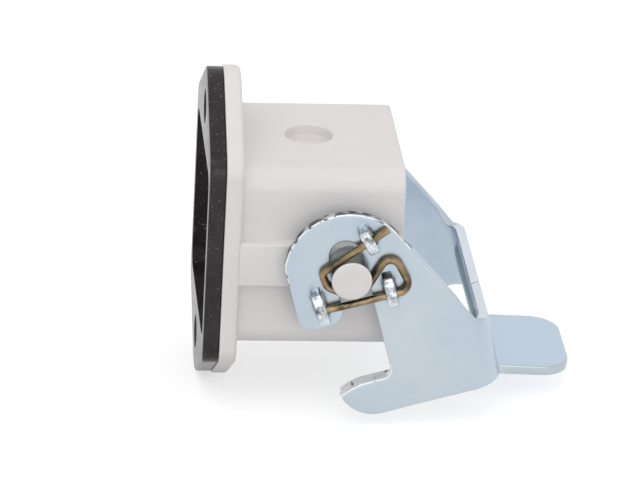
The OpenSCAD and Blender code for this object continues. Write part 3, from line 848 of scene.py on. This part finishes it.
def dense(points, step=0.45):
    """Adds points along the straights of an open path so that no gap is longer than step."""
    filled = []
    for p, q in zip(points, points[1:]):
        parts = max(1, ceil(dist(p, q) / step))
        filled += [(p[0] + (q[0] - p[0]) * k / parts, p[1] + (q[1] - p[1]) * k / parts)
                   for k in range(parts)]
    return filled + [points[-1]]


def plate_edge():
    """Edge of one plate, from the bend's top over the head, lobe, slot and hook to its lower edge."""
    start = (WEB_U - SHEET, WEB_TOP)
    gap = hypot(HEAD_U - start[0], HEAD_W - start[1])
    aim = atan2(HEAD_W - start[1], HEAD_U - start[0])
    turn = degrees(aim - asin(HEAD_R / gap)) - 90
    back = 180 - degrees(acos((HEAD_U - BACK_U) / HEAD_R))
    edge = [start, *arc(HEAD_U, HEAD_W, HEAD_R, turn, back, 40)]
    edge += arc(BACK_U + LOBE_BACK_R, LOBE_W + LOBE_BACK_R, LOBE_BACK_R, 180, 270, 10)
    edge += arc(-SLOT_HALF - LOBE_MOUTH_R, LOBE_W + LOBE_MOUTH_R, LOBE_MOUTH_R, 270, 360, 10)
    edge += arc(0, SLOT_END, SLOT_HALF, 180, 0, 24)
    edge += arc(SLOT_HALF - SEAT_CORNER, SEAT_W + SEAT_CORNER, SEAT_CORNER, 0, -90, 8)
    edge += [(TIP_START_U, SEAT_W), (TIP_MID_U, SEAT_W - TIP_MID_FALL)]
    middle = LEVER_LOW + HOOK_R
    sink = degrees(asin((SEAT_W - TIP_FALL - middle) / HOOK_R))
    return edge + arc(HOOK_U, middle, HOOK_R, 180 - sink, 270, 24)


def sheet_outline():
    """Outline of the flat sheet: one half, then its mirror image."""
    edge = plate_edge()
    slope = [to_web(*edge[0]), to_web(*edge[1])]
    rise = (slope[1][1] - slope[0][1]) / (slope[1][0] - slope[0][0])
    turns = [pi / 2 * k / 24 for k in range(25)]
    half = [(0, WEB_TOP), (BEND_SIDE, WEB_TOP)]
    for turn in turns[1:]:
        u = BEND_U + BEND * cos(turn)
        half.append((BEND_SIDE + BEND * turn, WEB_TOP + max(0, (u - slope[0][0]) * rise)))
    half += [flat(*p) for p in edge[1:]]
    for turn in reversed(turns):
        u = BEND_U + BEND * cos(turn)
        low = WEB_TOP + (LEVER_LOW - WEB_TOP + (u - WEB_U) * sin(LEAN)) / cos(LEAN)
        half.append((BEND_SIDE + BEND * turn, low))
    # The skirt narrows to the tab, with its corner and the tab's root a little rounded
    skirt = SKIRT_HALF - (SKIRT_HALF - TAB_HALF) / (SKIRT_W - TAB_W) * (SKIRT_W - low)
    half += [(skirt + 0.6, low), (skirt - 0.3, low - 0.25)]
    half += [(TAB_HALF + 0.15, TAB_W + 0.1), (TAB_HALF, TAB_W - 0.3)]
    end = TAB_BEND_W - TAB_RUN
    half += arc(TAB_HALF - TAB_CORNER, end + TAB_CORNER, TAB_CORNER, 0, -90, 14)
    half = dense(half + [(0, end)])
    return half + [(-run, up) for run, up in reversed(half[1:-1])]


def bridge_window(place):
    """Edge of the window that a bridge was pressed out of."""
    u, w, turn, length = place
    reach = length - 2 * BRIDGE_THICK - 0.2
    c, s = cos(radians(turn)), sin(radians(turn))
    window = round_square(BRIDGE_WIDTH, 0.3, reach, steps=4, spans=3)
    return [flat(u + a * c - b * s, w + a * s + b * c) for a, b in window]


def inside(points, outline):
    """Which points lie inside an outline, by counting crossings."""
    p, a = np.asarray(points, float), np.asarray(outline, float)
    b = np.roll(a, -1, 0)
    hits = np.zeros(len(p), int)
    for (x0, y0), (x1, y1) in zip(a, b):
        if y0 != y1:
            span = (p[:, 1] < y0) != (p[:, 1] < y1)
            hits += span & (p[:, 0] < x0 + (p[:, 1] - y0) * (x1 - x0) / (y1 - y0))
    return hits % 2 == 1


def on_sheet(points, loops):
    """Which points lie inside the first loop and outside the others."""
    keep = inside(points, loops[0])
    for hole in loops[1:]:
        keep &= ~inside(points, hole)
    return keep


def filled_sheet(loops):
    """Triangles over the flat sheet inside the first loop and outside the others, on an even grid."""
    edge = np.array([p for loop in loops for p in loop])
    runs, ups = (np.arange(low, high, SHEET_GRID) for low, high in zip(edge.min(0), edge.max(0)))
    grid = np.array([(run, up) for run in runs for up in ups])
    grid = grid[on_sheet(grid, loops)]
    clear = np.array([np.min(np.hypot(*(edge - p).T)) for p in grid]) > 0.5 * SHEET_GRID
    points = np.vstack([edge, grid[clear]])
    links, start = [], 0
    for loop in loops:
        links += [(start + k, start + (k + 1) % len(loop)) for k in range(len(loop))]
        start += len(loop)
    found, _, faces, *_ = delaunay_2d_cdt([Vector(p) for p in points], links, [], 0, 1e-6)
    middle = np.array([np.mean([found[i] for i in face], axis=0) for face in faces])
    keep = on_sheet(middle, loops)
    return [tuple(v) for v in found], [face for face, ok in zip(faces, keep) if ok]


def rim_kind(run, up, depth):
    """Finish of the cut edge: painted light on the web, torn round the heads, burnished with a painted
    highlight at the hooks' seats.
    """
    u, w = on_plate(run, up)
    near, burnish_highlight_depth = 0.5, 0.12 * SHEET
    head = w > 1 and hypot(u - HEAD_U, w - HEAD_W) > HEAD_R - near
    seat = SEAT_W - TIP_FALL - near < w < SEAT_W + SEAT_CORNER + near and u < SLOT_HALF + near
    if abs(run) < PLATE_RUN - BEND:
        return LIT_RIM
    if not (head or seat):
        return PLATED
    return BURNISHED_HIGHLIGHT if seat or depth < burnish_highlight_depth else TORN


def face_kind(points, face, depth):
    """Finish of a flat face: plain zinc outside; inside, painted shade in the web's bead and a lighter copy
    of the zinc as painted light elsewhere.
    """
    run, up = np.mean([points[i] for i in face], axis=0)
    within = BEAD_SHADE if bead_depth(run, up) > 0.1 else LIT_INNER
    return within if depth else PLATED


def make_lever(finishes):
    """The bent sheet: both faces from one flat pattern, joined by a rounded, sheared rim."""
    loops = [sheet_outline()]
    for place in BRIDGES.values():
        hole = bridge_window(place)
        loops += [hole, [(-run, up) for run, up in hole]]
    sign = [1] + [-1] * (len(loops) - 1)
    shrunk = [inset(loop, s * SHEAR_ROUND) for loop, s in zip(loops, sign)]
    points, faces = filled_sheet(shrunk)
    verts, polys, kinds = [], [], []
    for depth in (0, SHEET):
        base = len(verts)
        verts += [bent(run, up, depth) for run, up in points]
        polys += [tuple(base + i for i in (face if depth else face[::-1])) for face in faces]
        kinds += [face_kind(points, face, depth) for face in faces]
    rim = round_steps(SHEAR_ROUND, 3)
    rim = rim + [(0, 0.3 * SHEET)] + [(back, SHEET - drop) for back, drop in reversed(rim)]
    for loop, s in zip(loops, sign):
        rings = [inset(loop, s * back) for back, _ in rim]
        base, size = len(verts), len(loop)
        for ring, (_, depth) in zip(rings, rim):
            verts += [bent(run, up, depth) for run, up in ring]
        for i in range(len(rim) - 1):
            a, b = base + i * size, base + (i + 1) * size
            polys += [(a + k, a + (k + 1) % size, b + (k + 1) % size, b + k) for k in range(size)]
            kinds += [rim_kind(*p, rim[i][1]) for p in loop]
    return solid("lever_sheet", verts, polys, finishes, sharp=50, indices=kinds)


def make_seam(torn):
    """Butt seam across the web's upper edge, a little aslant."""
    half, low, high = 0.06, WEB_U - SHEET + 0.1, WEB_U - 0.1
    outline = [(low, SEAM_Y - half), (high, SEAM_Y + 3 * half),
               (high, SEAM_Y + 5 * half), (low, SEAM_Y + half)]
    return slab("web_seam", outline, WEB_TOP - 0.2, WEB_TOP + 0.01,
                lambda u, y, w: lever_point(*from_web(u, w), y), [torn],
                low_round=0.005, high_round=0.005)


def bridge_path(place, side):
    """Middle line of a bridge, foot to foot, with its corners rounded."""
    u, w, turn, length = place
    half, rise = length / 2, BRIDGE_ROOM + BRIDGE_THICK
    top = half - BRIDGE_SLOPE * rise
    mid, foot = rise - BRIDGE_THICK / 2, half - BRIDGE_THICK / 2
    corner = 0.35
    shape = [(-foot - 0.2, -0.5), (-foot, 0.0), (-top - corner * 0.6, mid - corner),
             (-top - corner * 0.2, mid - 0.1), (-top + corner, mid)]
    shape += [(-a, b) for a, b in reversed(shape)]
    c, s = cos(radians(turn)), sin(radians(turn))
    return [lever_point(u - a * s, w + a * c, side * (PLATE_OUTER + out))
            for a, out in dense(shape, step=0.2)]


def make_bridge(label, side, tree, finish):
    place = BRIDGES[label]
    across = lever_way(cos(radians(place[2])), sin(radians(place[2])), 0)
    sizes = {"Breadth": BRIDGE_WIDTH * MM, "Thickness": BRIDGE_THICK * MM, "Edge": 0.3 * MM,
             "Across": across, "Material": finish}
    return grown("wire_bridge_%s_%s" % (label, side_name(side)), tree, bridge_path(place, side), sizes)


def make_hook_lip(side, tree, finish):
    """Inward lip along the hook's seat, from the arm out to the tip."""
    top, bury = SEAT_W - LIP_BREADTH / 2, 0.25
    route = [(SLOT_HALF - 0.1, top), (TIP_START_U, top), (TIP_MID_U, top - TIP_MID_FALL),
             (LIP_END_U, top - TIP_FALL * 0.92)]
    y = side * (PLATE_OUTER - SHEET - LIP_DEPTH / 2 + bury)
    sizes = {"Breadth": (LIP_DEPTH + 2 * bury) * MM, "Thickness": LIP_BREADTH * MM, "Edge": 0.2 * MM,
             "Across": Vector((0, 1, 0)), "Material": finish}
    points = [lever_point(u, w, y) for u, w in dense(route, step=0.3)]
    return grown("hook_lip_" + side_name(side), tree, points, sizes)


# Spring wires


def wire_path():
    """The wire's route with its corners rounded, and where in it each corner's bend starts and ends."""
    path, ends = [WIRE_ROUTE[0]], []
    for i in range(1, len(WIRE_ROUTE) - 1):
        here, before, after = (Vector(WIRE_ROUTE[k]) for k in (i, i - 1, i + 1))
        a, b = (before - here).normalized(), (after - here).normalized()
        open_angle = a.angle(b)
        r, reach = WIRE_BEND[i], WIRE_BEND[i] / tan(open_angle / 2)
        centre = here + (a + b).normalized() * r / sin(open_angle / 2)
        start, stop = here + a * reach - centre, here + b * reach - centre
        swing = atan2(start.x * stop.y - start.y * stop.x, start.dot(stop))
        steps = max(4, ceil(abs(swing) / 0.12))
        for k in range(steps + 1):
            c, s = cos(swing * k / steps), sin(swing * k / steps)
            path.append(tuple(centre + Vector((start.x * c - start.y * s, start.x * s + start.y * c))))
        ends.append((len(path) - 1 - steps, len(path) - 1))
    return path + [WIRE_ROUTE[-1]], ends


def make_wire(side, tree, finish):
    """One wire in three lengths: two between the peg and the lever, where the spring bends, left fixed; one
    held by the lever.
    """
    path, ends = wire_path()
    hug = ends[2][1]
    peak = sum(ends[4]) // 2
    node, y = "spring_wire_" + side_name(side), side * WIRE_Y
    sizes = {"Radius": WIRE_DIA / 2 * MM, "Material": finish}
    lengths = {"leg": path[:hug + 1], "rise": path[hug:peak + 1], "foot": path[peak:]}
    for label, stretch in lengths.items():
        points = [lever_point(u, w, y) for u, w in dense(stretch, step=0.3)]
        wire = grown("%s_%s" % (node, label), tree, points, sizes)
        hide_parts(node)
        if label == "foot":
            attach(wire, "lever")
        else:
            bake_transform(wire)


# Floor, light and background


def backdrop_shader(tree, soft, bright):
    """White where the camera or a mirror-like surface looks at it, a soft level for the rest."""
    path = tree.nodes.new("ShaderNodeLightPath")
    seen, output = path, "Is Camera Ray"
    for extra in ("Is Glossy Ray", "Is Transmission Ray"):
        either = tree.nodes.new("ShaderNodeMath")
        either.operation = "MAXIMUM"
        join(tree, (seen, output, either, 0), (path, extra, either, 1))
        seen, output = either, "Value"
    level = tree.nodes.new("ShaderNodeMapRange")
    level.inputs["To Min"].default_value = soft
    level.inputs["To Max"].default_value = bright
    join(tree, (seen, output, level, "Value"))
    return level


def make_world():
    world = bpy.data.worlds.new("studio")
    bpy.context.scene.world = world
    world.use_nodes = True
    sky = world.node_tree.nodes["Background"]
    sky.inputs["Color"].default_value = (1, 1, 1, 1)
    level = backdrop_shader(world.node_tree, soft=0.75, bright=1.0)
    join(world.node_tree, (level, "Result", sky, "Strength"))


def make_floor():
    """Pale floor under the flange's lower ear: white to the eye, but it takes the object's shadow."""
    material = bpy.data.materials.new("pale_floor")
    material.use_nodes = True
    tree = material.node_tree
    tree.nodes.remove(tree.nodes["Principled BSDF"])
    matt = tree.nodes.new("ShaderNodeBsdfDiffuse")
    matt.inputs["Color"].default_value = (0.6, 0.6, 0.6, 1)
    glow = tree.nodes.new("ShaderNodeEmission")
    both = tree.nodes.new("ShaderNodeAddShader")
    level = backdrop_shader(tree, soft=0.0, bright=0.6)
    join(tree, (level, "Result", glow, "Strength"), (matt, 0, both, 0), (glow, 0, both, 1),
         (both, 0, tree.nodes["Material Output"], "Surface"))
    low, wide = cad_low[2] / MM - 0.05, 1500
    corners = [(-wide, -wide, low), (wide, -wide, low), (wide, wide, low), (-wide, wide, low)]
    mesh = bpy.data.meshes.new("floor")
    mesh.from_pydata([point_mm(p) for p in corners], [], [(0, 1, 2, 3)])
    mesh.materials.append(material)
    floor = placed("floor", mesh)


def soft_lamp(name, place, size, power):
    """A round lamp that looks at the part's middle."""
    data = bpy.data.lights.new(name, "AREA")
    data.shape = "DISK"
    data.size = size
    data.energy = power
    lamp = placed(name, data)
    lamp.location = place
    lamp.rotation_mode = "QUATERNION"
    lamp.rotation_quaternion = (Vector((0.015, 0, 0)) - Vector(place)).to_track_quat("-Z", "Y")


# Making


photo_camera()
plastic, stem_shade, rubber = moulded_plastic(), stem_shade_plastic(), gasket_rubber()
tab_blue, tab_grey = (0.51, 0.61, 0.73), (0.44, 0.495, 0.54)
zinc = zinc_sheet("zinc_sheet", [(0.45, 0.52, 0.60), (0.505, 0.57, 0.62), (0.55, 0.60, 0.63)], tab_blue)
# A lighter, bluer copy of the zinc for the plates' inner faces: painted light
lit_inner_zinc = zinc_sheet("zinc_inner_painted_light", [(0.54, 0.63, 0.73), (0.59, 0.68, 0.765), (0.64, 0.72, 0.78)], tab_blue)
# A lighter, greyer copy of the zinc for the cut edges of the web and tab: painted light on the
# upward-facing edge
light = zinc_sheet("zinc_edge_painted_light", [(0.66, 0.71, 0.77), (0.73, 0.78, 0.84), (0.80, 0.84, 0.88)], tab_grey)
# The cut edge's near-white is partly a painted highlight on the burnished metal
sheared, torn = sheared_edge(), torn_edge()
# The bead's darker zinc is painted shade
sheet_finishes = [zinc, sheared, torn, bead_shade_zinc(), lit_inner_zinc, light]
wires, straps = wire_tree(), strap_tree()
for made in (make_flange, make_tube, make_recess_pad, make_bar, make_boss):
    belongs(made(plastic), "housing", "housing_body")
# The peg stems take a darker grey plastic, painted shade for the gap under the lever
for side in (-1, 1):
    for made, finish in ((make_side_rib, plastic), (make_peg_stem, stem_shade), (make_peg_head, plastic)):
        belongs(made(side, finish), "housing", "housing_body")
belongs(make_gasket(rubber), "housing", "panel_gasket")
belongs(make_seal(seal_rubber()), "housing", "insert_seal")
brass = turned_brass()
belongs(make_nut(brass), "housing", "insert_nut")
belongs(make_thread(brass), "housing", "insert_nut")
belongs(make_lever(sheet_finishes), "lever", "locking_lever")
belongs(make_seam(torn), "lever", "locking_lever")
# The bridges' dark and near-white streaks are painted shade and reflection
drawn, bronze = bridge_zinc(), spring_bronze()
for side in (-1, 1):
    for label in BRIDGES:
        belongs(make_bridge(label, side, straps, drawn), "lever", "locking_lever")
    # The lips take the cut edge's near-white finish, a painted highlight
    belongs(make_hook_lip(side, straps, sheared), "lever", "locking_lever")
    make_wire(side, wires, bronze)
make_world()
make_floor()
soft_lamp("key", (-0.2, -0.35, 0.65), size=0.6, power=0.9)
soft_lamp("fill", (0.1, -0.8, 0.15), size=0.6, power=1.0)
bpy.context.scene.view_settings.view_transform = "Standard"
